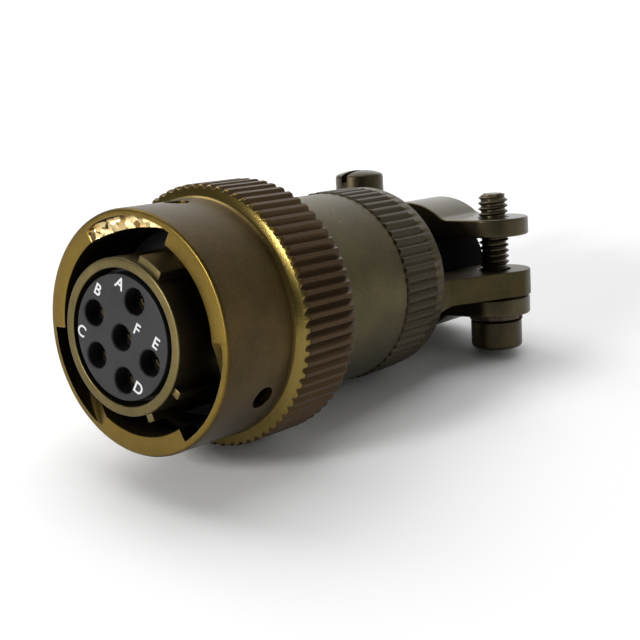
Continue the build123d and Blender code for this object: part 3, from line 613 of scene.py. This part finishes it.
def saddle_mesh(level, top):
    """One saddle with its ears between the heights level and top, and its arch above them."""
    arch, fillet, reach, width, ear, tapped_hole = 6.6, 2, 16.4, 10, 4.8, 2.135
    outer = arch + top - level
    foot = sqrt((outer + fillet) ** 2 - (top + fillet) ** 2)
    meets = 90 - degrees(asin(foot / (outer + fillet)))
    inside = degrees(asin(level / arch))
    outline = [(reach, level), (reach, top)]
    outline += arc(foot, top + fillet, fillet, -90, meets - 180, 8)
    outline += arc(0, 0, outer, meets, 180 - meets, 24)[1:]
    outline += arc(-foot, top + fillet, fillet, -meets, -90, 8)[1:]
    outline += [(-reach, top), (-reach, level)]
    outline += arc(0, 0, arch, 180 - inside, inside, 24)
    bar = make_object("saddle", slab([(x, screw_y - width / 2, z) for x, z in outline], (0, width, 0)))
    ends = [radians(a) for a in range(-90, 91, 6)]
    plan = [(screw_x + ear * cos(a), screw_y + width / 2 * sin(a), 0) for a in ends]
    plan += [(-x, 2 * screw_y - y, 0) for x, y, _ in plan]
    combine(bar, make_object("plan", slab(plan, (0, 0, 12))), "INTERSECT")
    bm = bmesh.new()
    for x, radius in ((-screw_x, screw_hole), (screw_x, tapped_hole)):
        add_pin(bm, radius, 10, Matrix.Translation(Vector((x, screw_y, 5.5)) / 1000))
    combine(bar, make_object("holes", bm))
    soften(bar, 0.28, angle=30, segments=3)
    shade(bar, 30)
    return bar


saddle_olive = plated(
    "saddle_plating", (0.05, 0.0415, 0.022), (0.084, 0.069, 0.038), (0.3, 0.25, 0.16), roughness=0.31,
)
saddle_level, saddle_top, upper_lift = 4.15, 6.65, 0.4
upper = saddle_mesh(saddle_level, saddle_top)
upper.name = "upper_saddle_piece"
lower = bpy.data.objects.new("lower_saddle_piece", upper.data.copy())
scene.collection.objects.link(lower)
upper.data.transform(clamp_turn @ Matrix.Translation((0, 0, upper_lift / 1000)))
place_piece(upper, saddle_olive, "upper_clamp", "saddle_metal", "upper_saddle")
lower.data.transform(clamp_turn @ Matrix.Rotation(pi, 4, "Y"))
place_piece(lower, saddle_olive, "root", "saddle_metal", "lower_saddle")

# Cable bushing: a moulded rubber tube with a collar, which sits between the neck and the clamp's wall.
bushing_rubber, tree, shader = new_material("bushing_rubber", (0.002, 0.002, 0.002), 0.0, 0.9)
shader.inputs["Specular IOR Level"].default_value = 0.05
bushing = lathe("cable_bushing_piece", [
    (4, 40.42, 0.2), (10.2, 40.42, 0.3), (10.2, 41.88, 0.3), (6.3, 41.88, 0), (6.3, 65, 0.5), (4, 65, 0.5),
])
shade(bushing)
place_piece(bushing, bushing_rubber, "root", "bushing_rubber", "cable_bushing")
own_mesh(bushing)


# Clamp screws: slotted steel screws with a thread, plated like the clamp. The near one is put in from
# below, head down. The far one is put in from above and is backed off a little.
def screw_mesh(name):
    """A screw along Z with its head's bearing face at z = 0 and its tip at -17.95 mm."""
    tip, crest, core, pitch, turns, steps = -17.95, 2.085, 1.68, 0.794, 21, 36
    made = lathe(name, [
        (0, tip, 0), (1.3, tip, 0.05), (core, -17.55, 0.1), (core, -0.6, 0.1), (crest, -0.3, 0),
        (crest, 0, 0), (3.6, 0, 0.2), (3.6, 3.75, 0.35), (2.6, 4.14, 0.5), (1.3, 4.39, 1.0), (0, 4.45, 0),
    ], steps=128)
    made.data.transform(Matrix.Rotation(radians(90), 4, "X"))
    bm = bmesh.new()
    add_box(bm, (10, 1.1, 1.7), (0, 0, 3.6))
    combine(made, make_object("slot", bm))
    soften(made, 0.08, angle=40)
    bm = bmesh.new()
    start = tip + 0.15
    profile = [(1.6, -0.36), (2.06, -0.06), (crest, 0), (2.06, 0.06), (1.6, 0.36)]
    face = bm.faces.new([bm.verts.new(Vector((r, 0, start + z)) / 1000) for r, z in profile])
    bmesh.ops.spin(
        bm, geom=[face], axis=(0, 0, 1), angle=2 * pi * turns, steps=turns * steps,
        dvec=(0, 0, pitch / steps / 1000),
    )
    bmesh.ops.recalc_face_normals(bm, faces=bm.faces[:])
    for vertex in bm.verts:
        radius = Vector(vertex.co[:2]).length * 1000
        pointed = 1.55 + max(0, (vertex.co.z * 1000 - tip)) * 0.75
        scale = min(1, min(crest, pointed) / radius)
        vertex.co.x *= scale
        vertex.co.y *= scale
        vertex.co.z = max(vertex.co.z, (tip + 0.02) / 1000)
    whole = bmesh.new()
    whole.from_mesh(made.data)
    mesh = bpy.data.meshes.new("thread")
    bm.to_mesh(mesh)
    bm.free()
    whole.from_mesh(mesh)
    whole.to_mesh(made.data)
    whole.free()
    shade(made, 40)
    return made


steel = plated(
    "screw_plating", (0.037, 0.03, 0.0155), (0.067, 0.053, 0.029), (0.3, 0.26, 0.175),
    metallic=0.9, roughness=0.35,
)
washer, gap, backed_off = 0.88, 0.05, 1.5
bearing = saddle_top + washer + gap
near_screw = screw_mesh("near_clamp_screw_piece")
spot = clamp_turn @ Matrix.Translation(Vector((screw_x, screw_y, -bearing)) / 1000)
spot = spot @ Matrix.Rotation(radians(38), 4, "Z") @ Matrix.Rotation(pi, 4, "X")
near_screw.data.transform(spot)
place_piece(near_screw, steel, "near_screw", "screw_steel", "near_clamp_screw")
far_screw = screw_mesh("far_clamp_screw_piece")
bearing += upper_lift + backed_off
spot = clamp_turn @ Matrix.Translation(Vector((-screw_x, screw_y, bearing)) / 1000)
far_screw.data.transform(spot @ Matrix.Rotation(radians(-94), 4, "Z"))
place_piece(far_screw, steel, "far_screw", "screw_steel", "far_clamp_screw")

# Wave spring: a ring of flat steel bent into three waves, between the shell's flange and the nut's
# thrust washer. It keeps the CAD mesh's shape.
spring = new_material("spring_steel", (0.07, 0.058, 0.04), 1.0, 0.35)[0]
bm = bmesh.new()
bm.from_mesh(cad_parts["wave_spring"].data)
bmesh.ops.transform(bm, matrix=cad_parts["wave_spring"].matrix_world, verts=bm.verts[:])
bmesh.ops.remove_doubles(bm, verts=bm.verts[:], dist=1e-7)
wave = make_object("wave_spring_piece", bm)
shade(wave)
place_piece(wave, spring, "root", "spring_steel", "wave_spring")
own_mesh(wave)

# Other small inner parts: washers and rings of steel, the rubber grommet and its plastic follower. They
# keep the CAD mesh and get plain materials.
grommet = new_material("grommet_rubber", (0.09, 0.03, 0.02), 0.0, 0.7)[0]
for name, material in {
    "thrust_washer": spring, "retaining_ring": spring, "insert_retaining_ring": spring,
    "near_lock_washer": spring, "far_lock_washer": spring, "wire_grommet": grommet,
    "grommet_follower": plastic,
}.items():
    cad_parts[name].data.materials.clear()
    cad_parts[name].data.materials.append(material)

# Floor: the pale sheet that the connector lies on, in the plane of its three points of rest. It whitens
# with distance for the camera, mirrors and glass, so that it runs into the white room without an edge.
rest_point = (-0.00034, 0.01991, -0.01568)
floor_normal = Vector((0.0272, -0.1317, 0.9909)).normalized()
bm = bmesh.new()
bmesh.ops.create_grid(bm, x_segments=1, y_segments=1, size=3.0)
turn = Vector((0, 0, 1)).rotation_difference(floor_normal).to_matrix().to_4x4()
bmesh.ops.transform(bm, matrix=Matrix.Translation(rest_point) @ turn, verts=bm.verts[:])
floor = make_object("floor", bm)
paper, tree, shader = new_material("floor_paper", (0.9, 0.9, 0.9), 0.0, 0.6)
shader.inputs["Specular IOR Level"].default_value = 0.2
ray = add_node(tree, "ShaderNodeLightPath").outputs
shown = math_node(tree, "MAXIMUM", ray["Is Glossy Ray"], ray["Is Transmission Ray"])
shown = math_node(tree, "MAXIMUM", ray["Is Camera Ray"], shown)
place = add_node(tree, "ShaderNodeTexCoord").outputs["Object"]
away = vector_node(tree, "DISTANCE", {0: place, 1: (0, 0.03, -0.015)})["Value"]
near = product(tree, ramp_node(tree, away, 0.06, 0.2), 0.3)
far = product(tree, ramp_node(tree, away, 0.22, 0.6), 0.6)
level = math_node(tree, "ADD", near, far)
tree.links.new(product(tree, shown, level), shader.inputs["Emission Strength"])
shader.inputs["Emission Color"].default_value = (1, 1, 1, 1)
floor.data.materials.append(paper)


# Light: soft lamps above the object and low in front of it on the left, in a room that glows most behind
# the object and on its right. The camera sees the room plain white, and the metal shows its glow.
def area_light(name, power, size, where, aim=(0, 0, 0)):
    lamp = bpy.data.lights.new(name, "AREA")
    lamp.energy = power
    lamp.size = size
    made = bpy.data.objects.new(name, lamp)
    scene.collection.objects.link(made)
    made.location = where
    made.rotation_euler = (Vector(aim) - Vector(where)).to_track_quat("-Z", "Y").to_euler()


area_light("key_light", 1.1, 0.3, (-0.3, 0.0, 0.42), (0, 0.02, 0))
area_light("top_light", 0.7, 0.3, (0.0, 0.05, 0.52), (0, 0.02, 0))
area_light("front_light", 1.55, 0.08, (-0.085, -0.465, 0.13))
area_light("low_light", 0.5, 0.2, (-0.12, -0.5, 0.02))
world = bpy.data.worlds.new("white_room")
world.use_nodes = True
tree = world.node_tree
background = tree.nodes["Background"]
direction = add_node(tree, "ShaderNodeTexCoord").outputs["Generated"]


def room_glow(towards, low, high, strength):
    """Light from one side of the room, which fades from high to low by the angle to its middle."""
    along = vector_node(tree, "DOT_PRODUCT", {0: direction, 1: Vector(towards).normalized()})["Value"]
    return product(tree, ramp_node(tree, along, low, high), strength)


behind_left = room_glow((-0.45, 0.75, 0.5), 0.2, 1, 1.0)
glow = math_node(tree, "ADD", behind_left, room_glow((-0.588, 0.77, 0.25), 0.75, 1, 0.3))
glow = math_node(tree, "ADD", glow, room_glow((1, 0.3, 0.2), 0.6, 1, 0.6))
glow = math_node(tree, "ADD", glow, 0.07)
ray = add_node(tree, "ShaderNodeLightPath").outputs
white = math_node(tree, "MAXIMUM", ray["Is Camera Ray"], ray["Is Transmission Ray"])
white = math_node(tree, "MAXIMUM", white, product(tree, ray["Is Glossy Ray"], 0.1))
tree.links.new(math_node(tree, "MAXIMUM", glow, white), background.inputs["Strength"])
background.inputs["Color"].default_value = (1, 1, 1, 1)
scene.world = world
scene.view_settings.view_transform = "Standard"

# Camera: as the photograph was taken, from the front, a little from the left and above. Its axes and its
# place along them come from points matched in the photograph.
lens = bpy.data.cameras.new("camera")
lens.lens = 67.97
lens.sensor_width = 36
lens.clip_start = 0.005
lens.clip_end = 20
camera = bpy.data.objects.new("camera", lens)
scene.collection.objects.link(camera)
right = Vector((0.78782, 0.61453, 0.04112))
up = Vector((-0.18254, 0.16921, 0.96853))
back = Vector((0.58823, -0.77053, 0.24548))
axes = Matrix((right, up, back)).transposed().to_4x4()
camera.matrix_world = Matrix.Translation(0.020516 * right + 0.001602 * up + 0.13349 * back) @ axes
scene.camera = camera
